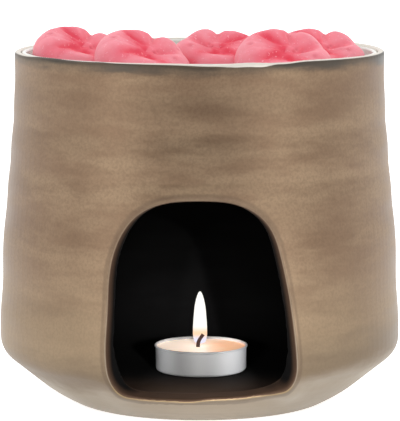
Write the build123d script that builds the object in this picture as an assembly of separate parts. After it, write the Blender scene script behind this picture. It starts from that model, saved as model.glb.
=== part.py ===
from build123d import *
import math
import os

# An essential oil burner: a thrown stoneware pot with an arched opening, a lift-out dish of wax melts
# on top and a tealight inside. Millimetres, +Z up, the origin at the centre of the foot on the table,
# the opening towards -Y.

# Driving sizes of the pot
pot_height = 141.8
widest_radius = 81.1
lip_radius = 74.4
foot_radius = 51.3
foot_edge_round = 6.0
bevel_height = 21.6
knee_round = 60.0
shoulder_round = 9.5
wall_thickness = 6.6
floor_height = 11.0
cove_radius = 24.0
throwing_ring_depth = 0.1
throwing_ring_pitch = 16.0

# The lip and the rebate inside it that carries the dish
lip_thickness = 2.5
lip_outer_round = 1.3
lip_inner_round = 0.9
seat_width = 2.6
seat_depth = 8.3
seat_wall_height = 11.0

# Where the bevel has its soft knee, as shares of the way from the foot's edge out and up to its top
knee_out_share = 0.326
knee_up_share = 0.241

# How far the wall has drawn in, as a share of the whole taper, at shares of its height
wall_taper_shares = (
    (0.0, 0.0),
    (0.1, 0.10),
    (0.2, 0.19),
    (0.3, 0.18),
    (0.4, 0.35),
    (0.5, 0.49),
    (0.6, 0.66),
    (0.7, 0.77),
    (0.8, 0.92),
    (0.9, 0.98),
    (1.0, 1.0),
)

# The arched opening, cut square to the wall: its crown above the table, its sill above the chamber's
# floor, half its angle seen from the pot's axis, and the round of its outer edge
arch_crown_height = 90.4
arch_sill_rise = 1.0
arch_half_angle = 26.8
arch_edge_round = 1.2

# The opening's outline, hand cut and a little askew: shares of its half width and of its height
arch_outline_shares = (
    (0.0, 0.0),
    (0.45, 0.011),
    (0.80, 0.024),
    (0.99, 0.052),
    (1.03, 0.12),
    (1.01, 0.24),
    (0.93, 0.47),
    (0.82, 0.705),
    (0.69, 0.865),
    (0.45, 0.96),
    (0.05, 1.0),
    (-0.35, 0.983),
    (-0.66, 0.92),
    (-0.85, 0.80),
    (-0.955, 0.585),
    (-0.975, 0.33),
    (-0.955, 0.10),
    (-0.86, 0.013),
    (-0.45, -0.004),
)

# The dish that rests in the rebate
dish_clearance = 0.3
dish_seat_gap = 0.3
dish_rim_drop = 0.5
dish_wall = 1.9
dish_rim_round = 0.8
dish_depth = 16.3
dish_floor_thickness = 3.5
dish_shoulder_round = 1.6
dish_shoulder_slope = 3.0

# The round of the dish's inner corner, as a share of its straight wall
dish_corner_share = 0.69

# The wax melts: a ring of round lobes about a hub, flat at the back, as shares of the bowl's radius
melt_lobes = 6
melt_lobe_share = 0.1203
melt_ring_share = 0.1662
melt_hub_share = 0.1576
melt_hub_drop_share = 0.0774
melt_back_share = 0.1003
melt_gap = 0.3

# Where each melt lies, as shares of the bowl's inner radius
melt_place_shares = {
    "wax_melt_1": (-0.692, 0.0),
    "wax_melt_2": (-0.319, -0.430),
    "wax_melt_3": (0.112, -0.064),
    "wax_melt_4": (0.473, -0.480),
    "wax_melt_5": (0.690, 0.021),
}

# How each melt lies, in degrees: tipped forwards, leaned to the right, and spun about its own hub
melt_turn_angles = {
    "wax_melt_1": (17.0, 11.0, 56.0),
    "wax_melt_2": (18.0, 13.0, 57.0),
    "wax_melt_3": (18.0, 5.0, 55.0),
    "wax_melt_4": (24.0, 3.0, 58.0),
    "wax_melt_5": (18.0, 2.0, 57.0),
}

# The tealight, a standard 38 mm one of the low kind, and its place on the chamber's floor
cup_radius = 19.0
cup_base_radius = 18.4
cup_height = 10.4
cup_foil = 0.4
cup_base_round = 1.2
cup_bead_radius = 0.45
cup_gap = 0.3
cup_place_x = 0.6
cup_place_y = -3.0
wax_below_rim = 1.1
wax_gap = 0.05

# The wick and the tin tab that holds its foot
wick_radius = 0.8
wick_offset_x = -1.2
wick_straight_above_wax = 0.6
wick_bend_radius = 5.0
wick_bend_angle = 34.0
wick_tip_length = 2.2
tab_radius = 6.0
tab_thickness = 0.4
tab_collar_radius = 1.5
tab_collar_height = 3.0
tab_bore_gap = 0.05

# How far a cutting shape reaches past what it cuts
overrun = 10.0

full_turn = 360.0

# Heights and radii that follow
knee_radius = foot_radius + knee_out_share * (widest_radius - foot_radius)
knee_height = knee_up_share * bevel_height
wall_base_height = bevel_height + shoulder_round
cove_top_height = floor_height + cove_radius + wall_thickness
lip_base_height = pot_height - lip_outer_round - lip_thickness
mouth_radius = lip_radius - lip_thickness
seat_height = pot_height - seat_depth
seat_inner_radius = mouth_radius - seat_width
dish_rim_radius = mouth_radius - dish_clearance
dish_body_radius = seat_inner_radius - dish_clearance
dish_base_height = seat_height + dish_seat_gap
dish_rim_height = pot_height - dish_rim_drop
dish_floor_height = pot_height - dish_depth
bowl_radius = dish_rim_radius - dish_wall
bowl_body_radius = dish_body_radius - dish_wall
bowl_slope_top = dish_base_height + dish_wall
bowl_slope_foot = bowl_slope_top - dish_shoulder_slope
dish_corner_round = dish_corner_share * (bowl_slope_foot - dish_floor_height)
melt_lobe_radius = melt_lobe_share * bowl_radius
melt_ring_radius = melt_ring_share * bowl_radius
melt_hub_radius = melt_hub_share * bowl_radius
arch_sill_height = floor_height + arch_sill_rise
cup_base_height = floor_height + cup_gap
cup_wall_top = cup_height - cup_bead_radius
cup_top_radius = cup_radius - cup_bead_radius
wax_top_height = cup_base_height + cup_height - wax_below_rim
wick_place_x = cup_place_x + wick_offset_x


def share_at(shares, place):
    """The value of a table of shares at a place between two of its rows."""
    for (low, low_value), (high, high_value) in zip(shares, shares[1:]):
        if place <= high:
            return low_value + (high_value - low_value) * (place - low) / (high - low)
    return shares[-1][1]


def wall_points(inset, ring_depth, base_height, top_height):
    """Points up the wall, drawn in by an inset, with the throwing rings standing out by a depth."""
    steps = round(2 * (top_height - base_height) / throwing_ring_pitch)
    points = []
    for step in range(steps + 1):
        height = base_height + (top_height - base_height) * step / steps
        share = (height - wall_base_height) / (lip_base_height - wall_base_height)
        drawn_in = (widest_radius - lip_radius) * share_at(wall_taper_shares, share)
        ring = 0 if step in (0, steps) else -ring_depth * (-1) ** step
        points.append((widest_radius - drawn_in - inset + ring, height))
    return points


def corner(face, radius, height):
    """The corner of a profile that lies nearest to a radius and a height."""
    return face.vertices().sort_by_distance((radius, height, 0))[0]


def turned(face):
    """A profile drawn as radius and height, stood up and turned about the axis."""
    return revolve(Plane.XZ * face, axis=Axis.Z, revolution_arc=full_turn)


def profile_face(*curves):
    """The face inside curves that follow one another round a profile."""
    edges = [edge for curve in curves for edge in curve.edges()]
    return make_face(Wire(edges))


def rounded(face, rounds):
    """A profile with its named corners rounded: each is a radius, a height and a size of round."""
    for radius, height, size in rounds:
        face = fillet(corner(face, radius, height), size)
    return face


def pot_profile():
    """Half the section of the pot: foot, bevel, ringed wall, lip, rebate, chamber and floor."""
    outside = wall_points(0, throwing_ring_depth, wall_base_height, lip_base_height)
    inside = wall_points(wall_thickness, 0, cove_top_height, seat_height - seat_wall_height)
    inside[-1] = (seat_inner_radius, seat_height - seat_wall_height)
    chamber_radius = inside[0][0]
    foot = Polyline(
        (0, 0),
        (foot_radius, 0),
        (knee_radius, knee_height),
        (widest_radius, bevel_height),
        outside[0],
    )
    outer_wall = Spline(outside, tangents=((0, 1), (0, 1)))
    lip = Polyline(
        outside[-1],
        (lip_radius, pot_height),
        (mouth_radius, pot_height),
        (mouth_radius, seat_height),
        (seat_inner_radius, seat_height),
        inside[-1],
    )
    inner_wall = Spline(inside[::-1], tangents=((0, -1), (0, -1)))
    chamber = Polyline(
        (chamber_radius, cove_top_height),
        (chamber_radius, floor_height),
        (0, floor_height),
        (0, 0),
    )
    face = profile_face(foot, outer_wall, lip, inner_wall, chamber)
    rounds = (
        (foot_radius, 0, foot_edge_round),
        (knee_radius, knee_height, knee_round),
        (widest_radius, bevel_height, shoulder_round),
        (lip_radius, pot_height, lip_outer_round),
        (mouth_radius, pot_height, lip_inner_round),
        (chamber_radius, floor_height, cove_radius),
    )
    return rounded(face, rounds)


def arch_section(distance):
    """The opening's outline on a plane this far in front of the axis. It widens with the distance."""
    half_width = distance * math.tan(math.radians(arch_half_angle))
    height = arch_crown_height - arch_sill_height
    points = [
        (half_width * across, -distance, arch_sill_height + height * up)
        for across, up in arch_outline_shares
    ]
    return Wire(Spline(points, periodic=True).edges())


def arch_cutter():
    """The opening as a solid, square to the wall, from the middle of the chamber out past the pot."""
    near = arch_section(widest_radius / 2)
    far = arch_section(widest_radius + overrun)
    return Solid.make_loft([near, far], ruled=True)


def pot_body():
    """The one-piece stoneware pot, its opening cut out and the outer edge of the cut rounded."""
    whole_pot = turned(pot_profile())
    cutter = arch_cutter()
    cut_pot = whole_pot - cutter
    cut_loops = Wire.combine(new_edges(whole_pot, cutter, combined=cut_pot))
    outer_loop = cut_loops.sort_by(SortBy.LENGTH)[-1]
    return cut_pot.solid().fillet(arch_edge_round, outer_loop.edges())


def melt_dish():
    """The dish: a rim that stands in the rebate, a shoulder that rests on its seat, a round bowl."""
    profile = Polyline(
        (0, dish_floor_height - dish_floor_thickness),
        (dish_body_radius, dish_floor_height - dish_floor_thickness),
        (dish_body_radius, dish_base_height),
        (dish_rim_radius, dish_base_height),
        (dish_rim_radius, dish_rim_height),
        (bowl_radius, dish_rim_height),
        (bowl_radius, bowl_slope_top),
        (bowl_body_radius, bowl_slope_foot),
        (bowl_body_radius, dish_floor_height),
        (0, dish_floor_height),
        (0, dish_floor_height - dish_floor_thickness),
    )
    face = profile_face(profile)
    rounds = (
        (dish_body_radius, dish_floor_height - dish_floor_thickness, dish_corner_round + dish_wall),
        (bowl_body_radius, dish_floor_height, dish_corner_round),
        (dish_rim_radius, dish_rim_height, dish_rim_round),
        (bowl_radius, dish_rim_height, dish_rim_round),
        (bowl_radius, bowl_slope_top, dish_shoulder_round),
        (bowl_body_radius, bowl_slope_foot, dish_shoulder_round),
    )
    return turned(rounded(face, rounds))


def rosette():
    """One wax melt about its own hub: round lobes in a ring, a lower hub between, a flat back."""
    body = Pos(0, 0, -melt_hub_drop_share * bowl_radius) * Sphere(melt_hub_radius)
    for lobe in range(melt_lobes):
        body += Rot(0, 0, full_turn * lobe / melt_lobes) * Pos(melt_ring_radius, 0, 0) * Sphere(melt_lobe_radius)
    across = 2 * (melt_ring_radius + melt_lobe_radius + overrun)
    back = Box(across, across, across, align=(Align.CENTER, Align.CENTER, Align.MAX))
    return body - Pos(0, 0, -melt_back_share * bowl_radius) * back


def wax_melt(name):
    """A melt in its place: tipped forwards and resting by its lowest lobe on the bowl's floor."""
    across, along = melt_place_shares[name]
    tip, lean, spin = melt_turn_angles[name]
    turn = Rot(tip, 0, 0) * Rot(0, lean, 0) * Rot(0, 0, spin)
    lobe_places = [
        turn * Rot(0, 0, full_turn * lobe / melt_lobes) * Pos(melt_ring_radius, 0, 0)
        for lobe in range(melt_lobes)
    ]
    lowest = min(place.position.Z for place in lobe_places)
    height = dish_floor_height + melt_gap + melt_lobe_radius - lowest
    return Pos(bowl_radius * across, bowl_radius * along, height) * turn * rosette()


def tealight_cup():
    """The thin metal cup, a little narrower at its base, with a rolled bead round its rim."""
    profile = Polyline(
        (0, 0),
        (cup_base_radius, 0),
        (cup_top_radius, cup_wall_top),
        (cup_top_radius - cup_foil, cup_wall_top),
        (cup_base_radius - cup_foil, cup_foil),
        (0, cup_foil),
        (0, 0),
    )
    rounds = (
        (cup_base_radius, 0, cup_base_round),
        (cup_base_radius - cup_foil, cup_foil, cup_base_round - cup_foil),
    )
    wall = turned(rounded(profile_face(profile), rounds))
    bead = turned(Pos(cup_top_radius, cup_wall_top, 0) * Circle(cup_bead_radius))
    cup = wall + bead
    return Pos(cup_place_x, cup_place_y, cup_base_height) * cup


def tealight_wax():
    """The wax that fills the cup, with room for the tab and the wick."""
    top = cup_height - wax_below_rim
    slope = (cup_top_radius - cup_base_radius) / (cup_wall_top - cup_foil)
    base_radius = cup_base_radius - cup_foil - wax_gap
    profile = Polyline(
        (0, cup_foil + wax_gap),
        (base_radius, cup_foil + wax_gap),
        (base_radius + slope * (top - cup_foil), top),
        (0, top),
        (0, cup_foil + wax_gap),
    )
    rounds = ((base_radius, cup_foil + wax_gap, cup_base_round),)
    block = Pos(cup_place_x, cup_place_y, cup_base_height) * turned(rounded(profile_face(profile), rounds))
    return block - tab_blank(wax_gap) - wick_solid(wick_radius + wax_gap)


def tab_blank(grown):
    """The tab without its bore, grown by a gap on every side."""
    base_height = cup_base_height + cup_foil + wax_gap
    disc = Cylinder(
        tab_radius + grown, tab_thickness + 2 * grown, align=(Align.CENTER, Align.CENTER, Align.MIN)
    )
    collar = Cylinder(
        tab_collar_radius + grown, tab_collar_height + grown, align=(Align.CENTER, Align.CENTER, Align.MIN)
    )
    return Pos(wick_place_x, cup_place_y, base_height) * (Pos(0, 0, -grown) * disc + collar)


def wick_tab():
    """The tin disc and collar that hold the foot of the wick."""
    return tab_blank(0) - wick_solid(wick_radius + tab_bore_gap)


def wick_solid(radius):
    """The wick as a round bar: straight up through the wax, then bent to the right."""
    foot = cup_base_height + cup_foil + wax_gap + tab_thickness
    bend_start = wax_top_height + wick_straight_above_wax
    angle = math.radians(wick_bend_angle)
    bend_end = (
        wick_place_x + wick_bend_radius * (1 - math.cos(angle)),
        cup_place_y,
        bend_start + wick_bend_radius * math.sin(angle),
    )
    tip = (
        bend_end[0] + wick_tip_length * math.sin(angle),
        cup_place_y,
        bend_end[2] + wick_tip_length * math.cos(angle),
    )
    stem = Line((wick_place_x, cup_place_y, foot), (wick_place_x, cup_place_y, bend_start))
    bend = TangentArc(stem @ 1, bend_end, tangent=(0, 0, 1))
    end = Line(bend @ 1, tip)
    path = Wire(stem.edges() + bend.edges() + end.edges())
    section = Plane(stem @ 0, z_dir=(0, 0, 1)) * Circle(radius)
    return sweep(section, path=path)


def tealight_wick():
    """The burnt wick."""
    return wick_solid(wick_radius)


def nodes():
    """Every piece of the burner under its own name."""
    pieces = {
        "pot_body": pot_body(),
        "melt_dish": melt_dish(),
    }
    for name in melt_place_shares:
        pieces[name] = wax_melt(name)
    pieces["tealight_cup"] = tealight_cup()
    pieces["tealight_wax"] = tealight_wax()
    pieces["tealight_wick"] = tealight_wick()
    pieces["wick_tab"] = wick_tab()
    return pieces


os.makedirs("parts", exist_ok=True)
for node_name, piece in nodes().items():
    export_step(piece, f"parts/{node_name}.step")
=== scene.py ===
import math

import bmesh
import bpy
import numpy as np
from mathutils import Matrix, Vector, kdtree, noise


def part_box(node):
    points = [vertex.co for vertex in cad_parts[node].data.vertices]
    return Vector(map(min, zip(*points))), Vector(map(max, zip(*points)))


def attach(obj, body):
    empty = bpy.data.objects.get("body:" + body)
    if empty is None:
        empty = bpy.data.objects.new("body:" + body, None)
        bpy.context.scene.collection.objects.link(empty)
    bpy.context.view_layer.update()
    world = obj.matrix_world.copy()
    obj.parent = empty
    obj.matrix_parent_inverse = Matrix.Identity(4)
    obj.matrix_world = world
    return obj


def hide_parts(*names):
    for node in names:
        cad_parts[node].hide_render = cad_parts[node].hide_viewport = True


# An essential oil burner: a bronze-glazed stoneware pot with an arched opening, a lift-out cream dish of
# pink wax melts on top, and a lit tealight inside. Metres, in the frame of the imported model: the opening
# faces -Y, and X goes to its right.

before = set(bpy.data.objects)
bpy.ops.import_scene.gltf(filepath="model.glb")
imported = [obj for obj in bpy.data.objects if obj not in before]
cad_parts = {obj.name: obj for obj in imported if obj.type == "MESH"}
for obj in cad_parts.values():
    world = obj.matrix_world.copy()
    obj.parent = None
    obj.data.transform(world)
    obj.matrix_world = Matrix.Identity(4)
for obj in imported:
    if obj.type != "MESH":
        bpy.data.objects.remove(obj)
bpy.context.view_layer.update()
MM = 0.001

# The photograph's camera, fitted to the pot's silhouette, rim and tealight
camera_place = (0.2 * MM, -1084 * MM, 218.6 * MM)
camera_pitch_down = 7.48
camera_lens_mm = 230.0
camera_sensor_mm = 36.0
camera_farthest = 20.0

# The CAD pieces that the looks and the lights are fitted to
pot_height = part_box("pot_body")[1].z
wax_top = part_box("tealight_wax")[1].z
cup_low, cup_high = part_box("tealight_cup")
wick_low, wick_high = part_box("tealight_wick")


# Meshes and their numbers


def mesh_object(name, vertices, faces, smooth=True):
    """A new object with a mesh of its own."""
    mesh = bpy.data.meshes.new(name)
    mesh.from_pydata([tuple(v) for v in vertices], [], faces)
    mesh.update()
    if smooth:
        shade_smooth(mesh)
    return placed(name, mesh)


def placed(name, data):
    """A new object in the scene that shows a mesh, a lamp or a camera."""
    made = bpy.data.objects.new(name, data)
    bpy.context.scene.collection.objects.link(made)
    return made


def shade_smooth(mesh):
    """Shades a mesh as one round skin."""
    mesh.polygons.foreach_set("use_smooth", [True] * len(mesh.polygons))


def vertex_places(piece):
    """The vertices of a mesh as an array."""
    places = np.zeros(len(piece.data.vertices) * 3)
    piece.data.vertices.foreach_get("co", places)
    return places.reshape(-1, 3)


def vertex_normals(piece):
    """The vertex normals of a mesh as an array."""
    normals = np.zeros(len(piece.data.vertices) * 3)
    piece.data.vertex_normals.foreach_get("vector", normals)
    return normals.reshape(-1, 3)


def set_places(piece, places):
    """Moves the vertices of a mesh."""
    piece.data.vertices.foreach_set("co", places.astype(np.float32).ravel())
    piece.data.update()


def set_attribute(piece, name, values):
    """Keeps one number per vertex, which a material reads by its name."""
    attribute = piece.data.attributes.new(name, "FLOAT", "POINT")
    attribute.data.foreach_set("value", np.asarray(values, np.float32))


def unevenness(places, waves, seed=0.0):
    """Smooth noise at each place, from about -1 to 1. waves is how many go in a metre, for each axis."""
    shift = Vector((seed, 2 * seed, 3 * seed))
    return np.array([noise.noise(Vector(place) + shift) for place in places * np.array(waves)])


def rise(value, low, high):
    """0 below low, 1 above high, and a smooth rise between."""
    share = np.clip((value - low) / (high - low), 0, 1)
    return share * share * (3 - 2 * share)


def round_about(azimuths, stations):
    """A value at each azimuth, run smoothly between stations of (azimuth, value) that close into a ring."""
    turns, values = np.array(stations).T
    turns = np.concatenate((turns[-1:] - 360, turns, turns[:1] + 360))
    values = np.concatenate((values[-1:], values, values[:1]))
    after = np.clip(np.searchsorted(turns, azimuths), 1, len(turns) - 1)
    share = rise(azimuths, turns[after - 1], turns[after])
    return values[after - 1] + share * (values[after] - values[after - 1])


def lathe(name, profile, segments):
    """A closed profile of (radius, height) turned about +Z. Its first and last points lie on the axis."""
    vertices = [(0, 0, profile[0][1])]
    for radius, height in profile[1:-1]:
        for step in range(segments):
            angle = 2 * math.pi * step / segments
            vertices.append((radius * math.cos(angle), radius * math.sin(angle), height))
    vertices.append((0, 0, profile[-1][1]))
    rings = len(profile) - 2
    faces = []
    for step in range(segments):
        after = (step + 1) % segments
        faces.append((0, 1 + after, 1 + step))
        for ring in range(rings - 1):
            low = 1 + ring * segments
            high = low + segments
            faces.append((low + step, low + after, high + after, high + step))
        top = 1 + (rings - 1) * segments
        faces.append((top + step, top + after, len(vertices) - 1))
    return mesh_object(name, vertices, faces)


# The materials
white = (1, 1, 1, 1)


class Graph:
    """The nodes of a material or of the world, its owner, made and joined in few words."""

    def __init__(self, owner, output="ShaderNodeOutputMaterial"):
        owner.use_nodes = True
        self.owner = owner
        self.tree = owner.node_tree
        self.tree.nodes.clear()
        self.output = self.node(output)

    def node(self, kind, inputs=(), **settings):
        made = self.tree.nodes.new(kind)
        for key, value in settings.items():
            setattr(made, key, value)
        for key, value in dict(inputs).items():
            self.feed(made.inputs[key], value)
        return made

    def feed(self, socket, value):
        if isinstance(value, bpy.types.NodeSocket):
            self.tree.links.new(value, socket)
        else:
            socket.default_value = value

    def coordinates(self, stretch, place):
        source = self.node("ShaderNodeTexCoord").outputs["Object"]
        mapped = self.node("ShaderNodeMapping", {"Vector": source, "Scale": stretch, "Location": place})
        return mapped.outputs["Vector"]

    def noise(self, per_metre, detail, stretch=(1, 1, 1), rough=0.5, place=(0, 0, 0)):
        """Clouds, so many to the metre, shorter along an axis that is stretched more, moved by a place."""
        inputs = {
            "Vector": self.coordinates(stretch, place),
            "Scale": per_metre,
            "Detail": detail,
            "Roughness": rough,
        }
        return self.node("ShaderNodeTexNoise", inputs).outputs["Fac"]

    def attribute(self, name):
        return self.node("ShaderNodeAttribute", attribute_name=name).outputs["Fac"]

    def axis(self, name, coordinate="Object"):
        source = self.node("ShaderNodeTexCoord").outputs[coordinate]
        return self.node("ShaderNodeSeparateXYZ", {"Vector": source}).outputs[name]

    def ray(self, kind):
        return self.node("ShaderNodeLightPath").outputs[kind]

    def math(self, operation, first, second):
        return self.node("ShaderNodeMath", {0: first, 1: second}, operation=operation).outputs[0]

    def span(self, value, low, high, below=0.0, above=1.0):
        """One number where a value is below low, another where it is above high, a smooth run between."""
        inputs = {"Value": value, "From Min": low, "From Max": high, "To Min": below, "To Max": above}
        made = self.node("ShaderNodeMapRange", inputs, interpolation_type="SMOOTHSTEP")
        return made.outputs["Result"]

    def band(self, value, low, high, soft):
        """1 between low and high, falling to 0 over a soft width at either end."""
        rising = self.span(value, low - soft, low)
        falling = self.span(value, high, high + soft, below=1.0, above=0.0)
        return self.math("MULTIPLY", rising, falling)

    def ragged(self, value, clouds, swing):
        """A value that clouds raise or lower, by at most half the swing either way."""
        shift = self.math("MULTIPLY", self.math("SUBTRACT", clouds, 0.5), swing)
        return self.math("ADD", value, shift)

    def mix(self, share, first, second):
        """The first colour, and as much of the second over it as the share says."""
        made = self.node("ShaderNodeMix", data_type="RGBA")
        self.feed(made.inputs[0], share)
        self.feed(made.inputs[6], first)
        self.feed(made.inputs[7], second)
        return made.outputs[2]

    def coat(self, colour, top, value, low, high, below=0.0, above=1.0):
        """A colour with a top colour over it. The top's share is the span of a value."""
        return self.mix(self.span(value, low, high, below, above), colour, top)

    def bump(self, height, distance, strength, under=None):
        inputs = {"Height": height, "Distance": distance, "Strength": strength}
        if under is not None:
            inputs["Normal"] = under
        return self.node("ShaderNodeBump", inputs).outputs["Normal"]

    def surface(self, kind, inputs):
        """Makes the shader that the surface or the world shows, and gives back the graph's owner."""
        shader = self.node(kind, inputs)
        self.tree.links.new(shader.outputs[0], self.output.inputs["Surface"])
        return self.owner

    def shine(self, inputs):
        return self.surface("ShaderNodeBsdfPrincipled", inputs)


def material_graph(name):
    """The empty nodes of a new material."""
    return Graph(bpy.data.materials.new(name))


def linear(red, green, blue):
    """A colour written as it looks, from 0 to 255, as Blender's linear colour."""
    def one(value):
        share = value / 255
        return share / 12.92 if share <= 0.04045 else ((share + 0.055) / 1.055) ** 2.4

    return (one(red), one(green), one(blue), 1.0)


# The bronze glaze on the wall. The wall pales downwards, then comes a band of painted shade at the shoulder
# above
# the bevel, and the bevel itself is pale: thinner glaze with a painted reflection of the white floor. The
# bands' edges are ragged, and they sink to the left by a share of the way across
dark_bronze = linear(128, 104, 82)
light_bronze = linear(150, 127, 102)
band_brown = linear(116, 92, 72)
streak_brown = linear(106, 84, 66)
grain_brown = linear(92, 72, 57)
low_wall_tan = linear(158, 143, 116)
shoulder_shade_brown = linear(94, 81, 67)
bevel_glaze_and_reflection_grey = linear(162, 150, 133)
low_wall_heights = (20 * MM, 75 * MM)
shoulder_shade_heights = (22 * MM, 36 * MM)
bevel_reflection_heights = (11.5 * MM, 21 * MM)
bevel_ragged = 12 * MM
bevel_lean_share = -0.07
streak_depth = 0.5 * MM
throwing_band_depth = 0.8 * MM
grain_depth = 0.05 * MM

# The glaze at the lip: how far under it the dark band fades out, and the soft edge of the pale crest
lip_band_grey = linear(70, 66, 60)
crest_cream = linear(222, 216, 206)
lip_band_drops = (1.4 * MM, 5.6 * MM)
lip_band_ragged = 9 * MM
crest_edge = (-0.12 * MM, 0.12 * MM)

# The glaze at the opening, by how far behind the opening's rim a place lies: a dim halo of painted shade
# outside it, a light line along it, and the dark face within, which runs into painted shade, near black,
# deeper in the chamber.
# The line is pale glaze over the edge with a painted highlight on its round. It is golden at the sill and
# fades up the jambs
halo_shade_brown = linear(92, 76, 62)
face_brown = linear(92, 70, 55)
chamber_black_and_shade = linear(8, 7, 7)
sill_gold = linear(158, 133, 94)
jamb_grey = linear(146, 132, 116)
halo_shade_reach = (-2.2 * MM, -0.4 * MM)
halo_shade_soft = 1.2 * MM
line_reach = (-0.22 * MM, 0.3 * MM)
line_soft = 0.2 * MM
line_fade_heights = (15.5 * MM, 60 * MM)
golden_sill_heights = (15.5 * MM, 19 * MM)
face_depths = (0.25 * MM, 0.6 * MM)
rough_face_depths = (0.3 * MM, 3 * MM)


def bronze_wall(graph, bands, patches, streaks, grain):
    """The mottled colour of the wall and of the bevel under it, with painted shade at the shoulder and a
    painted reflection of the floor on the bevel.
    """
    height = graph.axis("Z")
    colour = graph.coat(dark_bronze, light_bronze, patches, 0.34, 0.66)
    colour = graph.coat(colour, band_brown, bands, 0.36, 0.64, above=0.35)
    colour = graph.coat(colour, streak_brown, streaks, 0.45, 0.75, above=0.22)
    colour = graph.coat(colour, grain_brown, grain, 0.35, 0.7, above=0.28)
    colour = graph.coat(colour, low_wall_tan, height, *low_wall_heights, below=0.35, above=0.0)
    lean = graph.math("MULTIPLY", graph.axis("X"), bevel_lean_share)
    bevel = graph.math("ADD", graph.ragged(height, patches, bevel_ragged), lean)
    # Painted shade: a dark band at the shoulder above the bevel
    colour = graph.coat(colour, shoulder_shade_brown, bevel, *shoulder_shade_heights, below=0.5, above=0.0)
    # The pale bevel: thinner glaze and a painted reflection of the white floor
    return graph.coat(colour, bevel_glaze_and_reflection_grey, bevel, *bevel_reflection_heights, below=0.8, above=0.0)


def dark_lip_band(graph, colour, patches):
    """The ragged, smudged band of dark glaze under the lip, over a colour."""
    drop = graph.ragged(graph.attribute("drop"), patches, lip_band_ragged)
    smudges = graph.noise(per_metre=24, detail=2, stretch=(1, 1, 0.6), place=(0.7, 0, 0))
    smudge_share = graph.span(smudges, 0.4, 0.6, below=0.95, above=0.6)
    band_share = graph.span(drop, *lip_band_drops, below=1.0, above=0.0)
    return graph.mix(graph.math("MULTIPLY", band_share, smudge_share), colour, lip_band_grey)


def opening_glaze(graph, colour, cut):
    """The opening's halo of painted shade, its face running into painted shade in the chamber behind, and
    its light line of pale glaze and painted highlight, over a colour.
    """
    height = graph.axis("Z")
    # Painted shade: a dim halo just outside the opening's edge
    halo_shade_share = graph.math("MULTIPLY", graph.band(cut, *halo_shade_reach, halo_shade_soft), 0.45)
    colour = graph.mix(halo_shade_share, colour, halo_shade_brown)
    # The face runs into painted shade, near black, deeper in the chamber, over a dark glaze
    face = graph.mix(graph.attribute("recess_shade"), face_brown, chamber_black_and_shade)
    colour = graph.coat(colour, face, cut, *face_depths)
    # The light line: pale glaze over the edge, and a painted highlight on its round
    line = graph.coat(sill_gold, jamb_grey, height, *golden_sill_heights)
    fade = graph.span(height, *line_fade_heights, below=0.75, above=0.25)
    line_share = graph.math("MULTIPLY", graph.band(cut, *line_reach, line_soft), fade)
    return graph.mix(line_share, colour, line)


def bronze_glaze():
    """Satin bronze glaze with a pale crest at the lip. The pot's attributes place it: cut is how far behind
    the opening's rim a place lies, or outside it where it is negative, drop how far under the lip, pale how
    far up into the pale crest, and the fourth how much painted shade darkens the chamber there, from 0 to
    1."""
    graph = material_graph("bronze_glaze")
    cut = graph.attribute("cut")
    bands = graph.noise(per_metre=16, detail=2, stretch=(0.18, 0.18, 3.2), place=(0, 0, 0.11))
    patches = graph.noise(per_metre=52, detail=5, stretch=(0.6, 0.6, 2.4), rough=0.6, place=(0.3, 0.1, 0.2))
    streaks = graph.noise(per_metre=26, detail=3, stretch=(1, 1, 0.15))
    grain = graph.noise(per_metre=1000, detail=2, rough=0.6)
    colour = bronze_wall(graph, bands, patches, streaks, grain)
    colour = dark_lip_band(graph, colour, patches)
    colour = opening_glaze(graph, colour, cut)
    colour = graph.coat(colour, crest_cream, graph.attribute("pale"), *crest_edge)
    normal = graph.bump(streaks, streak_depth, strength=0.5)
    normal = graph.bump(bands, throwing_band_depth, strength=0.5, under=normal)
    normal = graph.bump(grain, grain_depth, strength=0.5, under=normal)
    rough = graph.span(patches, 0.3, 0.7, below=0.4, above=0.5)
    rough = graph.math("ADD", rough, graph.span(cut, *rough_face_depths, above=0.4))
    return graph.shine({
        "Base Color": colour,
        "Metallic": 0.75,
        "Roughness": rough,
        "Normal": normal,
        "IOR": 1.5,
    })


# The dish's cream glaze, and how deep its waves are
cream = linear(226, 227, 220)
grey_cream = linear(214, 217, 210)
cream_wave_depth = 0.8 * MM

# The pink wax, how deep its specks are, and how far light goes into it
crest_pink = linear(243, 143, 156)
slope_pink = linear(238, 110, 127)
valley_red_and_shade = linear(232, 64, 88)
speck_pink = linear(252, 196, 206)
pit_shade_red = linear(214, 84, 102)
speck_depth = 0.2 * MM
pink_light_depth = 2 * MM

# The cup's foil, how deep its draw lines are, and where across it turns into painted shade and bright again
bright_foil = linear(254, 254, 255)
cloudy_foil = linear(244, 245, 247)
foil_shade_grey = linear(134, 133, 132)
draw_line_depth = 0.04 * MM
foil_shade_from = (-19 * MM, -7 * MM)
foil_shade_to = (2 * MM, 19 * MM)

# The candle's wax, how deep its waves are, how far light goes into it, and where across it turns warm
creamy_white = linear(250, 228, 210)
peach = linear(250, 192, 152)
candle_wave_depth = 0.2 * MM
candle_light_depth = 4 * MM
candle_warm_across = (-14 * MM, 19 * MM)

# The wick and the tab under it, and how deep the wick's braid is
char_black = linear(22, 9, 6)
char_brown = linear(58, 26, 17)
light_tin = linear(168, 168, 170)
dark_tin = linear(140, 140, 143)
braid_depth = 0.1 * MM

# Where up the flame its lilac foot turns orange and the orange white, in shares of its height
foot_lilac = linear(232, 227, 244)
flame_orange = linear(255, 214, 176)
flame_white = linear(255, 252, 246)
lilac_to_orange_shares = (0.08, 0.2)
orange_to_white_shares = (0.2, 0.36)
flame_light_strength = 3.0
flame_seen_strength = 1.1


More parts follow.
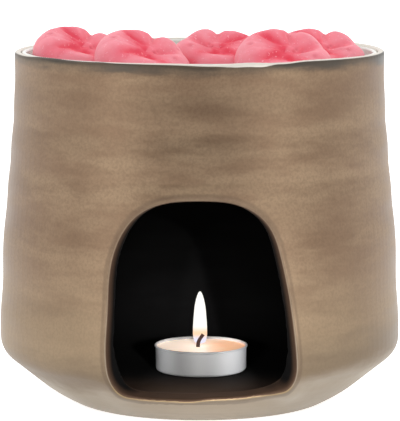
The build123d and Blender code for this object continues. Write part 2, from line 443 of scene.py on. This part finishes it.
def cream_glaze():
    """Gloss cream glaze, a little grey-green, with the faintest unevenness."""
    graph = material_graph("cream_glaze")
    clouds = graph.noise(per_metre=30, detail=3)
    colour = graph.mix(clouds, cream, grey_cream)
    normal = graph.bump(clouds, cream_wave_depth, strength=0.4)
    return graph.shine({"Base Color": colour, "Roughness": 0.16, "Normal": normal, "IOR": 1.5})


def pink_wax():
    """Scented wax: pale pink on the crests and redder in the valleys and pits, partly its own colour and
    partly painted shade, with pale specks.
    """
    graph = material_graph("pink_wax")
    clouds = graph.noise(per_metre=190, detail=4)
    specks = graph.noise(per_metre=900, detail=2, place=(0.5, 0, 0))
    valley = graph.ragged(graph.attribute("valley"), clouds, 0.7)
    # Redder and darker towards the valleys: partly the wax's own colour and partly painted shade
    colour = graph.coat(crest_pink, slope_pink, valley, -0.15, 0.5)
    colour = graph.coat(colour, valley_red_and_shade, valley, 0.45, 0.95)
    colour = graph.coat(colour, speck_pink, specks, 0.64, 0.74, above=0.5)
    # Painted shade in the pits
    colour = graph.mix(graph.attribute("pit"), colour, pit_shade_red)
    return graph.shine({
        "Base Color": colour,
        "Roughness": 0.5,
        "Normal": graph.bump(specks, speck_depth, strength=0.5),
        "Subsurface Weight": 0.2,
        "Subsurface Radius": (1.0, 0.35, 0.3),
        "Subsurface Scale": pink_light_depth,
        "IOR": 1.43,
    })


def cup_foil():
    """Thin drawn aluminium, satin, with faint draw lines up the wall, and painted shade left of its middle.
    """
    graph = material_graph("cup_foil")
    lines = graph.noise(per_metre=700, detail=2, stretch=(1, 1, 0.05))
    clouds = graph.noise(per_metre=90, detail=3)
    colour = graph.mix(clouds, bright_foil, cloudy_foil)
    # Painted shade across the cup, left of its middle
    across = graph.axis("X")
    left = graph.span(across, *foil_shade_from, below=0.25)
    right = graph.span(across, *foil_shade_to, below=1.0, above=0.0)
    colour = graph.mix(graph.math("MULTIPLY", left, right), colour, foil_shade_grey)
    normal = graph.bump(lines, draw_line_depth, strength=0.6)
    return graph.shine({"Base Color": colour, "Metallic": 0.1, "Roughness": 0.45, "Normal": normal})


def candle_wax():
    """Soft candle wax, creamy white and peach on its warmer side. Emission adds painted light, as the
    flame's light through it.
    """
    graph = material_graph("candle_wax")
    clouds = graph.noise(per_metre=140, detail=3)
    warmth = graph.ragged(graph.span(graph.axis("X"), *candle_warm_across), clouds, 0.4)
    colour = graph.coat(creamy_white, peach, warmth, 0.3, 0.9)
    return graph.shine({
        "Base Color": colour,
        "Roughness": 0.5,
        "Normal": graph.bump(clouds, candle_wave_depth, strength=0.5),
        "Subsurface Weight": 0.3,
        "Subsurface Radius": (1.0, 0.6, 0.35),
        "Subsurface Scale": candle_light_depth,
        # Painted light: the wax glows as if lit through by the flame
        "Emission Color": colour,
        "Emission Strength": 0.48,
    })


def burnt_wick():
    """Charred braided cotton, red-brown in the flame."""
    graph = material_graph("burnt_wick")
    braid = graph.noise(per_metre=2200, detail=2, stretch=(1, 1, 0.5))
    colour = graph.mix(braid, char_black, char_brown)
    normal = graph.bump(braid, braid_depth, strength=0.8)
    return graph.shine({"Base Color": colour, "Roughness": 0.9, "Normal": normal})


def tab_tin():
    """Dull tinned steel."""
    graph = material_graph("tab_tin")
    rub = graph.noise(per_metre=600, detail=3)
    colour = graph.mix(rub, light_tin, dark_tin)
    return graph.shine({"Base Color": colour, "Metallic": 0.9, "Roughness": 0.4})


def flame_light():
    """A candle flame: white, orange round the wick and faintly lilac at its foot. It lights the wax."""
    graph = material_graph("flame_light")
    up = graph.attribute("flame_up")
    colour = graph.coat(foot_lilac, flame_orange, up, *lilac_to_orange_shares)
    colour = graph.coat(colour, flame_white, up, *orange_to_white_shares)
    seen = graph.ray("Is Camera Ray")
    strength = graph.span(seen, 0, 1, below=flame_light_strength, above=flame_seen_strength)
    glow = graph.node("ShaderNodeEmission", {"Color": colour, "Strength": strength}).outputs[0]
    clear = graph.node("ShaderNodeBsdfTransparent").outputs[0]
    return graph.surface("ShaderNodeMixShader", {0: graph.ray("Is Shadow Ray"), 1: glow, 2: clear})


def dress(piece, material):
    """Gives a piece its one material, in the mesh's one slot."""
    piece.data.materials.clear()
    piece.data.materials.append(material)


# The pot's skin: small even faces on the CAD shape
pot_voxel = 0.8 * MM
pot_smooth_rounds = 2
pot_smooth_share = 0.5
weld_distance = 0.001 * MM

# The heights between which the opening and the chamber are marked on the skin
underside_height = 9 * MM
lining_height = 132 * MM

# How fine the profile is that the wall's depth is read off
profile_step = 1.5 * MM

# How far under the lip's top its crest is taken to lie, and how far in the wall the lip is wholly pale
crest_drop = 0.1 * MM
lining_depth = 1.3 * MM
fully_pale = 1 * MM

# Where the opening's cut face is looked for on the front: how far in the wall, how high, and how far from
# the axis. Then the part of the outer skin that is measured from it, on the wall laid flat at its radius
front_from = 20 * MM
face_in_wall = (2 * MM, 5 * MM)
face_top = 100 * MM
face_inner_radius = 58 * MM
skin_depth = 3 * MM
skin_top = 110 * MM
skin_half_width = 62 * MM
flat_wall_radius = 78 * MM
far_from_cut = 30 * MM

# The depths over which the outer skin turns into the cut face, and over which painted shade darkens that
# face into the chamber. Painted shade also darkens the chamber's floor towards the back, and a floor is
# what faces up
rim_depths = (1.5 * MM, 3 * MM)
shade_wall_depths = (1.5 * MM, 5.4 * MM)
shade_floor_places = (-62 * MM, -10 * MM)
floor_facing_shares = (0.5, 0.9)

# The unevenness of the throwing: how deep it is, how many waves go in a metre, and where it starts
throw_depth = 0.12 * MM
throw_waves = (14, 14, 60)
throw_radii = (40 * MM, 60 * MM)
throw_foot = 6 * MM
lip_wave_reach = 7 * MM
least_radius = 1 * MM

# Where the hand-cut opening departs from a plain arch: the place across and up, how far it is pushed
# across and up, and how wide the push spreads, in millimetres. The lower corners come first, then the
# crown and the right side from its shoulder down. They act on the front only, from a way before the axis
cut_pushes = (
    (-30.5, 15.0, -0.9, -2.5, 7.0),
    (33.0, 16.5, 0.9, -2.8, 7.0),
    (0.0, 90.0, 0.0, -0.85, 11.0),
    (24.0, 84.0, 0.45, 0.35, 10.0),
    (28.0, 73.0, 0.75, 0.0, 14.0),
    (34.0, 50.0, 0.75, 0.0, 15.0),
)
cut_push_front = (30 * MM, 45 * MM)

# How far the lip stands over or under its mean, in millimetres, at azimuths from the front to the right
lip_waves = (
    (-170, 0.1),
    (-110, 0.0),
    (-69, -0.3),
    (-52, -0.1),
    (-38, -0.5),
    (-24, -0.3),
    (-8, -0.2),
    (4, -0.6),
    (15, 0.0),
    (25, -0.4),
    (34, 0.25),
    (66, 0.0),
    (115, 0.4),
)

# How far the pale glaze of the lip's crest runs down its outer side, in millimetres, in the same way
pale_runs = (
    (-170, 0.5),
    (-110, 0.4),
    (-69, 0.3),
    (-52, -0.3),
    (-38, -0.5),
    (-24, 0.2),
    (4, 0.6),
    (12, 1.4),
    (18, 1.5),
    (24, 0.35),
    (80, 0.25),
    (115, 0.5),
)


def even_skin(node, name):
    """A new object with the shape of a CAD node and an even skin of small faces that lie on it."""
    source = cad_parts[node]
    mesh = source.data.copy()
    piece = placed(name, mesh)
    shape = bmesh.new()
    shape.from_mesh(mesh)
    bmesh.ops.remove_doubles(shape, verts=shape.verts, dist=weld_distance)
    shape.to_mesh(mesh)
    shape.free()
    remesh = piece.modifiers.new("even_skin", "REMESH")
    remesh.mode = "VOXEL"
    remesh.voxel_size = pot_voxel
    smooth = piece.modifiers.new("soft_edges", "SMOOTH")
    smooth.factor = pot_smooth_share
    smooth.iterations = pot_smooth_rounds
    wrap = piece.modifiers.new("back_on_the_shape", "SHRINKWRAP")
    wrap.target = source
    finished = bpy.data.meshes.new_from_object(piece.evaluated_get(bpy.context.evaluated_depsgraph_get()))
    piece.modifiers.clear()
    piece.data = finished
    finished.name = name
    shade_smooth(finished)
    return piece


def depth_in_wall(places):
    """How far each place lies behind the pot's outer skin, taken from the whole wall at the back."""
    radius = np.hypot(places[:, 0], places[:, 1])
    steps = np.round(places[:, 2] / profile_step).astype(int)
    behind = places[:, 1] > 0
    widest = np.zeros(steps.max() + 1)
    np.maximum.at(widest, steps[behind], radius[behind])
    skin = np.flatnonzero(widest)
    heights = skin * profile_step
    reach = widest[skin]
    slope = np.gradient(reach, heights)
    lean = 1 / np.sqrt(1 + slope ** 2)
    out = np.interp(places[:, 2], heights, reach)
    return (out - radius) * np.interp(places[:, 2], heights, lean)


def gap_to_cut(places, depth):
    """How far each place on the front lies from the opening's cut face, seen along the wall."""
    across, along, up = places.T
    front = along < -front_from
    face = front & (depth > face_in_wall[0]) & (depth < face_in_wall[1])
    face &= (up > underside_height) & (up < face_top) & (np.hypot(across, along) > face_inner_radius)
    near = front & (depth < skin_depth) & (up < skin_top) & (np.abs(across) < skin_half_width)

    def laid_flat(chosen):
        round_wall = -across[chosen] / along[chosen] * flat_wall_radius
        return np.column_stack((round_wall, up[chosen], np.zeros(len(round_wall))))

    marks = laid_flat(face)
    tree = kdtree.KDTree(len(marks))
    for index, mark in enumerate(marks):
        tree.insert(mark, index)
    tree.balance()
    gaps = np.full(len(places), far_from_cut)
    gaps[near] = [tree.find(place)[2] for place in laid_flat(near)]
    return gaps


def azimuth_of(places):
    """The azimuth of each place, in degrees: 0 in front, 90 to the right."""
    return np.degrees(np.arctan2(places[:, 0], -places[:, 1]))


def mark_glaze(piece, places):
    """Gives the pot the attributes that the bronze glaze reads."""
    height = places[:, 2]
    depth = depth_in_wall(places)
    cut = depth - gap_to_cut(places, depth) * (1 - rise(depth, *rim_depths))
    cut = np.where((height < underside_height) | (height > lining_height), -far_from_cut, cut)
    floor = rise(vertex_normals(piece)[:, 2], *floor_facing_shares)
    # Painted shade: the chamber's walls darken with depth, and its floor towards the back
    recess_shade = rise(cut, *shade_wall_depths) * (1 - floor) + rise(places[:, 1], *shade_floor_places) * floor
    lip = pot_height - crest_drop
    pale = height - lip + round_about(azimuth_of(places), pale_runs) * MM
    lining = (height > lining_height) & (depth > lining_depth)
    set_attribute(piece, "cut", cut)
    set_attribute(piece, "recess_shade", recess_shade)
    set_attribute(piece, "pale", np.where(lining, fully_pale, pale))
    set_attribute(piece, "drop", lip - height)


def thrown(places):
    """The places moved by the throwing's unevenness and the lip's waves."""
    height = places[:, 2]
    near_lip = rise(height, pot_height - lip_wave_reach, pot_height)
    push = throw_depth * unevenness(places, throw_waves) * (1 - near_lip)
    radius = np.maximum(np.hypot(places[:, 0], places[:, 1]), least_radius)
    outer = rise(radius, *throw_radii) * rise(height, 0, throw_foot)
    moved = places.copy()
    moved[:, :2] *= (1 + push * outer / radius)[:, None]
    moved[:, 2] += round_about(azimuth_of(places), lip_waves) * MM * near_lip
    return moved


def hand_cut(places):
    """The shift of each place on the front that gives the opening its hand-cut outline."""
    shift = np.zeros(places.shape)
    front = rise(-places[:, 1], *cut_push_front)
    for across, up, push_across, push_up, spread in np.array(cut_pushes) * MM:
        away = np.hypot(places[:, 0] - across, places[:, 2] - up)
        near = front * np.exp(-(away / spread) ** 2)
        shift[:, 0] += near * push_across
        shift[:, 2] += near * push_up
    return shift


def pot():
    """The pot: the CAD shape with the small unevenness of a thrown and hand-cut piece."""
    piece = even_skin("pot_body", "stoneware_pot")
    places = vertex_places(piece)
    mark_glaze(piece, places)
    places = thrown(places)
    set_places(piece, places + hand_cut(places))
    dress(piece, bronze_glaze())
    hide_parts("pot_body")
    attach(piece, "pot")


def cad_nodes():
    """The CAD nodes that keep their own shape and get a finish."""
    finishes = {
        "melt_dish": cream_glaze(),
        "tealight_cup": cup_foil(),
        "tealight_wax": candle_wax(),
        "tealight_wick": burnt_wick(),
        "wick_tab": tab_tin(),
    }
    for node, material in finishes.items():
        dress(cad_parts[node], material)


# The bowl that the wax melts lie in, and the sizes that they share with the CAD solids, as shares of its
# radius
bowl_radius = 69.7 * MM
bowl_floor = 125.5 * MM
melt_lobes = 6
melt_lobe_share = 0.1203
melt_ring_share = 0.1662
melt_back_share = 0.1003
melt_gap = 0.3 * MM
melt_lobe_radius = melt_lobe_share * bowl_radius
melt_ring_radius = melt_ring_share * bowl_radius
melt_back_depth = melt_back_share * bowl_radius

# The melts' own form: a round ring about a hub, with broad ridges on top that curl in to the hub
melt_tube_radius = 7.9 * MM
melt_hub_radius = 9.6 * MM
melt_hub_drop = 5.0 * MM
ridge_radius = 6.5 * MM
ridge_ring = 11.6 * MM
ridge_rise = 1.9 * MM
ridge_end_radius = 3.2 * MM
ridge_end_ring = 3.6 * MM
ridge_end_rise = 3.0 * MM
ridge_curl = -25.0
melt_soft = 2.2 * MM
melt_back_soft = 1.2 * MM
soft_sharpness = 4

# Where the grooves between the ridges fade: outwards from the hub, and downwards
groove_radii = (10 * MM, 14.5 * MM)
groove_height = 4 * MM

# How wide the red and painted shade of a valley is, and where outwards it loses a share of itself
valley_width = 8 * MM
red_radii = (11 * MM, 16 * MM)
red_lost_share = 0.6

# The heights over which a melt's top begins, where its pits and fine waves are
melt_top_heights = (-4 * MM, 2 * MM)
melt_relief = 0.12 * MM
melt_relief_waves = (260, 260, 260)
# How much painted shade darkens the pits
pit_shade_share = 0.5

# How its skin is found along rays from its middle, and how finely
melt_middle_drop = 1 * MM
melt_farthest = 30 * MM
bisections = 22
melt_subdivisions = 6

# Where each melt lies, across and to the back, in shares of the bowl's radius
melt_place_shares = {
    "wax_melt_1": (-0.692, 0.0),
    "wax_melt_2": (-0.319, -0.430),
    "wax_melt_3": (0.112, -0.064),
    "wax_melt_4": (0.473, -0.480),
    "wax_melt_5": (0.690, 0.021),
}

# How far each melt is tipped forwards, leaned to the right and spun, in degrees
melt_turn_angles = {
    "wax_melt_1": (17.0, 11.0, 56.0),
    "wax_melt_2": (18.0, 13.0, 57.0),
    "wax_melt_3": (18.0, 5.0, -65.0),
    "wax_melt_4": (24.0, 3.0, 58.0),
    "wax_melt_5": (18.0, 2.0, 57.0),
}

# The one melt whose ridges curl the other way
mirrored_melt = "wax_melt_3"

# The ridges of a melt, in groups that run together: how far the group lies under the highest, in
# millimetres, and the azimuths of its ridges on the melt
melt_ridges = (
    (0.0, (-4,)),
    (0.0, (50,)),
    (0.0, (99, 121, 142)),
    (1.8, (192, 214)),
    (0.6, (282,)),
)

# How deep the groove between two groups is, in millimetres, at azimuths on the melt
melt_grooves = (
    (-81, 0.0),
    (-62, 1.8),
    (-40, 1.0),
    (-20, 0.4),
    (4, 0.2),
    (19, 1.8),
    (34, 0.3),
    (50, 0.3),
    (75, 2.6),
    (94, 0.0),
    (146, 0.0),
    (166, 2.0),
    (184, 0.0),
    (220, 0.0),
    (245, 2.4),
    (268, 0.6),
)

# How far the outline is notched, in millimetres, in the same way
melt_notches = (
    (-60, 0.3),
    (-38, 1.2),
    (-12, 0.2),
    (2, 0.2),
    (19, 2.0),
    (34, 0.2),
    (75, -0.5),
    (104, 0.0),
    (166, 0.8),
    (200, 0.6),
    (245, 1.0),
)

# How red and how deep in painted shade the groove is, from 0 to 1, in the same way
melt_groove_reds_and_shades = (
    (-60, 0.8),
    (-38, 0.5),
    (19, 0.5),
    (46, 0.8),
    (75, 1.0),
    (110, 0.9),
    (166, 1.0),
    (200, 0.8),
    (245, 1.0),
)

# Pits left by bubbles: azimuth on the melt, distance from its hub, width and depth, in millimetres
melt_pits = (
    (121, 14.0, 1.1, 0.8),
    (-87, 13.4, 1.1, 0.6),
    (-57, 3.6, 0.7, 0.6),
    (-40, 5.0, 0.5, 0.5),
    (-70, 5.4, 0.5, 0.4),
    (20, 13.0, 0.6, 0.4),
    (-30, 14.5, 0.8, 0.4),
)


def soft_least(values, softness):
    """The least of several distances, with the valleys between them filled to a soft round."""
    least = values.min(axis=0)
    total = np.exp(-(values - least) / softness * soft_sharpness).sum(axis=0)
    return least - softness / soft_sharpness * np.log(total)


def ridge_gap(places, outer, inner):
    """How far places are from a ridge that tapers from a big round end to a small one."""
    run = inner - outer
    share = np.clip((places - outer) @ run / (run @ run), 0, 1)
    middle = outer + share[:, None] * run
    radius = ridge_radius + share * (ridge_end_radius - ridge_radius)
    return np.linalg.norm(places - middle, axis=1) - radius


def curled(places):
    """The places turned about the hub, more the nearer to it, so that straight ridges come out curled."""
    radius = np.hypot(places[:, 0], places[:, 1])
    turn = -np.radians(ridge_curl) * (1 - rise(radius, 0, melt_ring_radius))
    cosine, sine = np.cos(turn), np.sin(turn)
    out = places.copy()
    out[:, 0] = cosine * places[:, 0] - sine * places[:, 1]
    out[:, 1] = sine * places[:, 0] + cosine * places[:, 1]
    return out


def ridge_groups(straight):
    """How far places, before the curl, are from each group of ridges."""
    groups = []
    for lower, turns in melt_ridges:
        ridges = []
        for turn in np.radians(turns):
            way = np.array((math.cos(turn), math.sin(turn), 0))
            outer = way * ridge_ring + np.array((0, 0, ridge_rise - lower * MM))
            inner = way * ridge_end_ring + np.array((0, 0, ridge_end_rise - lower * MM))
            ridges.append(ridge_gap(straight, outer, inner))
        groups.append(np.min(ridges, axis=0))
    return groups


def melt_distance(places):
    """How far places are from a melt's skin, and how red and shaded the valley between ridges is painted
    there.
    """
    hub = np.linalg.norm(places - np.array((0, 0, -melt_hub_drop)), axis=1) - melt_hub_radius
    straight = curled(places)
    azimuth = np.degrees(np.arctan2(straight[:, 1], straight[:, 0]))
    out = np.hypot(places[:, 0], places[:, 1])
    groove = round_about(azimuth, melt_grooves) * MM * (1 - rise(out, *groove_radii))
    tube = melt_tube_radius - round_about(azimuth, melt_notches) * MM
    tube -= groove * rise(places[:, 2], 0, groove_height)
    ring = np.hypot(out - melt_ring_radius, places[:, 2]) - tube
    groups = ridge_groups(straight)
    lobes = soft_least(np.array([hub, ring, *groups]), melt_soft)
    back = -(places[:, 2] + melt_back_depth)
    body = -soft_least(np.array([-lobes, -back]), melt_back_soft)
    nearest, second = np.sort(groups, axis=0)[:2]
    valley = 1 - rise(second - nearest, 0, valley_width)
    fading = 1 - red_lost_share * rise(out, *red_radii)
    return body, valley * fading * round_about(azimuth, melt_groove_reds_and_shades)


def skin_reach(middle, directions):
    """How far a melt's skin is from its middle in each direction, found by halving."""
    near = np.zeros(len(directions))
    far = np.full(len(directions), melt_farthest)
    for _ in range(bisections):
        half = (near + far) / 2
        gap, _valley = melt_distance(middle + directions * half[:, None])
        near = np.where(gap < 0, half, near)
        far = np.where(gap < 0, far, half)
    return near


def pitted(places, top):
    """How deep each place on a melt is sunk in a pit, and how much of a pit it holds, from 0 to 1."""
    sunk = np.zeros(len(places))
    pit = np.zeros(len(places))
    for azimuth, ring, width, depth in melt_pits:
        turn = math.radians(azimuth)
        middle = ring * MM * np.array((math.cos(turn), math.sin(turn)))
        away = np.linalg.norm(places[:, :2] - middle, axis=1)
        hollow = np.exp(-(away / (width * MM)) ** 2) * top
        sunk += hollow * depth * MM
        pit = np.maximum(pit, hollow)
    return sunk, pit


def rosette(name, seed, mirrored):
    """One melt about its own hub."""
    shape = bmesh.new()
    subdivisions = melt_subdivisions
    bmesh.ops.create_icosphere(shape, subdivisions=subdivisions, radius=1)
    directions = np.array([v.co[:] for v in shape.verts])
    mesh = bpy.data.meshes.new(name)
    shape.to_mesh(mesh)
    shape.free()
    middle = np.array((0, 0, -melt_middle_drop))
    reach = skin_reach(middle, directions)
    places = middle + directions * reach[:, None]
    _gap, valley = melt_distance(places)
    top = rise(places[:, 2], *melt_top_heights)
    sunk, pit = pitted(places, top)
    reach += melt_relief * (unevenness(places, melt_relief_waves, seed) - 1) * top - sunk
    if mirrored:
        directions = directions * np.array((-1, 1, 1))
        mesh.flip_normals()
    piece = placed(name, mesh)
    set_places(piece, middle + directions * reach[:, None])
    shade_smooth(mesh)
    set_attribute(piece, "valley", valley)
    set_attribute(piece, "pit", pit_shade_share * pit)
    return piece


def melt_turn(tip, lean, spin):
    """A melt's turn: spun about its own hub, leaned to the right, then tipped forwards."""
    turn = Matrix.Rotation(math.radians(tip), 4, "X") @ Matrix.Rotation(math.radians(lean), 4, "Y")
    return turn @ Matrix.Rotation(math.radians(spin), 4, "Z")


def lowest_lobe(turn):
    """The height of the middle of a turned melt's lowest lobe over the melt's hub: zero or less."""
    lobes = [2 * math.pi * lobe / melt_lobes for lobe in range(melt_lobes)]
    return min((turn @ Vector((math.cos(a), math.sin(a), 0))).z for a in lobes) * melt_ring_radius


def melts():
    """The five melts, each in the place of its CAD node, resting by its lowest lobe on the bowl's floor."""
    material = pink_wax()
    for number, (node, (across_share, along_share)) in enumerate(melt_place_shares.items(), 1):
        turn = melt_turn(*melt_turn_angles[node])
        height = bowl_floor + melt_gap + melt_lobe_radius - lowest_lobe(turn)
        place = (bowl_radius * across_share, bowl_radius * along_share, height)
        piece = rosette(f"rosette_{number}", number, node == mirrored_melt)
        piece.data.transform(Matrix.Translation(place) @ turn)
        dress(piece, material)
        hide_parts(node)
        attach(piece, "dish")


# The flame. At its foot the front is flattened to a share of its depth, so that the wick shows before it,
# and it grows round again between two shares of its height
flame_half_width = 2.9 * MM
flame_tall = 21.8 * MM
flame_over_wax = 1.2 * MM
flame_place_x = 0.2 * MM
flame_segments = 40
flame_rings = 60
flame_front_share = 0.12
flame_round_again_shares = (0.2, 0.45)

# The flame's half-width at heights up it, both in shares of the whole
flame_width_shares = (
    (0.0, 0.0),
    (0.02, 0.60),
    (0.06, 0.86),
    (0.18, 1.0),
    (0.32, 0.985),
    (0.45, 0.93),
    (0.58, 0.85),
    (0.71, 0.76),
    (0.84, 0.57),
    (0.93, 0.36),
    (0.98, 0.18),
    (1.0, 0.0),
)


def flame():
    """The flame: a tall teardrop round the wick, widest low down."""
    ups, wides = np.array(flame_width_shares).T
    profile = []
    for ring in range(flame_rings + 1):
        share = (1 - math.cos(math.pi * ring / flame_rings)) / 2
        profile.append((flame_half_width * np.interp(share, ups, wides), flame_tall * share))
    piece = lathe("flame", profile, flame_segments)
    places = vertex_places(piece)
    up = places[:, 2] / flame_tall
    set_attribute(piece, "flame_up", up)
    flattened = flame_front_share + (1 - flame_front_share) * rise(up, *flame_round_again_shares)
    places[:, 1] *= np.where(places[:, 1] < 0, flattened, 1)
    foot = (flame_place_x, (wick_low.y + wick_high.y) / 2, wax_top + flame_over_wax)
    set_places(piece, places + np.array(foot))
    dress(piece, flame_light())
    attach(piece, "tealight")


# The floor, and how bright the room is in front of the pot and behind it. The one turns into the other
# between two directions, told by the share of them that points to +Y
floor_side = 6.0
floor_near = -3.0
floor_far = 9.0
floor_glow = 0.8
floor_colour = (0.85, 0.85, 0.85, 1)
surround_in_front = 0.1
surround_behind = 1.2
surround_turn_shares = (-1, 0.1)

# The softboxes: azimuth and elevation in degrees, width and height in metres, and power in watts
softbox_distance = 1.5
softboxes = {
    "left_box": (-48, 14, 0.6, 1.3, 5.1),
    "right_box": (44, 14, 0.5, 1.3, 4.8),
    "front_box": (14, 38, 0.9, 0.5, 2.4),
}

# The two spots that reach the tealight through the opening: how far across, in metres, and power in watts
cup_lights = ((0.27, 98.0), (-0.25, 42.0))
cup_light_near = -1.36
cup_light_high = 0.28
cup_light_angle = 2.6
cup_light_blend_share = 0.25
cup_light_aim_rise = 10 * MM
cup_light_radius = 0.03


def pale_floor():
    """The floor's matt white, with a glow that only the camera and reflections see."""
    graph = material_graph("floor_pale")
    seen = graph.math("MAXIMUM", graph.ray("Is Camera Ray"), graph.ray("Is Glossy Ray"))
    glow_strength = graph.math("MULTIPLY", seen, floor_glow)
    matt = graph.node("ShaderNodeBsdfDiffuse", {"Color": floor_colour}).outputs[0]
    glow = graph.node("ShaderNodeEmission", {"Color": white, "Strength": glow_strength}).outputs[0]
    return graph.surface("ShaderNodeAddShader", {0: matt, 1: glow})


def stage():
    """A plain pale floor that the camera sees as white, with the pot's soft shadow on it."""
    corners = [(-floor_side, floor_near, 0), (floor_side, floor_near, 0)]
    corners += [(floor_side, floor_far, 0), (-floor_side, floor_far, 0)]
    floor = mesh_object("floor", corners, [(0, 1, 2, 3)], smooth=False)
    dress(floor, pale_floor())


def surround():
    """The room: white behind the pot, dimmer in front of it, and white wherever the camera looks."""
    graph = Graph(bpy.data.worlds.new("surround"), "ShaderNodeOutputWorld")
    along = graph.axis("Y", "Generated")
    light = graph.span(along, *surround_turn_shares, below=surround_in_front, above=surround_behind)
    strength = graph.math("MAXIMUM", light, graph.ray("Is Camera Ray"))
    bpy.context.scene.world = graph.surface("ShaderNodeBackground", {"Color": white, "Strength": strength})


def lit_from(light, place, aim):
    """Puts a lamp at a place and turns it to its aim."""
    holder = placed(light.name, light)
    holder.location = place
    holder.rotation_euler = (aim - place).to_track_quat("-Z", "Y").to_euler()


def lights():
    """Two tall softboxes in front, one each side, and a wide one higher up, a little to the right."""
    aim = Vector((0, 0, pot_height / 2))
    for name, (azimuth, elevation, wide, high, power) in softboxes.items():
        light = bpy.data.lights.new(name, "AREA")
        light.shape = "RECTANGLE"
        light.size = wide
        light.size_y = high
        light.energy = power
        turn = math.radians(azimuth)
        up = math.radians(elevation)
        way = Vector((math.sin(turn) * math.cos(up), -math.cos(turn) * math.cos(up), math.sin(up)))
        lit_from(light, aim + softbox_distance * way, aim)


def tealight_spots():
    """Two narrow spots, one each side of the camera, that reach the tealight through the opening."""
    aim = (cup_low + cup_high) / 2 + Vector((0, 0, cup_light_aim_rise))
    for number, (across, power) in enumerate(cup_lights, 1):
        light = bpy.data.lights.new(f"cup_light_{number}", "SPOT")
        light.energy = power
        light.spot_size = math.radians(cup_light_angle)
        light.spot_blend = cup_light_blend_share
        light.shadow_soft_size = cup_light_radius
        lit_from(light, Vector((across, cup_light_near, cup_light_high)), aim)


def camera():
    """The photograph's camera."""
    eye = bpy.data.cameras.new("camera")
    eye.lens = camera_lens_mm
    eye.sensor_fit = "VERTICAL"
    eye.sensor_height = camera_sensor_mm
    eye.clip_end = camera_farthest
    holder = placed("camera", eye)
    holder.location = camera_place
    holder.rotation_euler = (math.radians(90 - camera_pitch_down), 0, 0)
    bpy.context.scene.camera = holder


camera()
pot()
cad_nodes()
melts()
flame()
stage()
surround()
lights()
tealight_spots()
bpy.context.scene.view_settings.view_transform = "Standard"
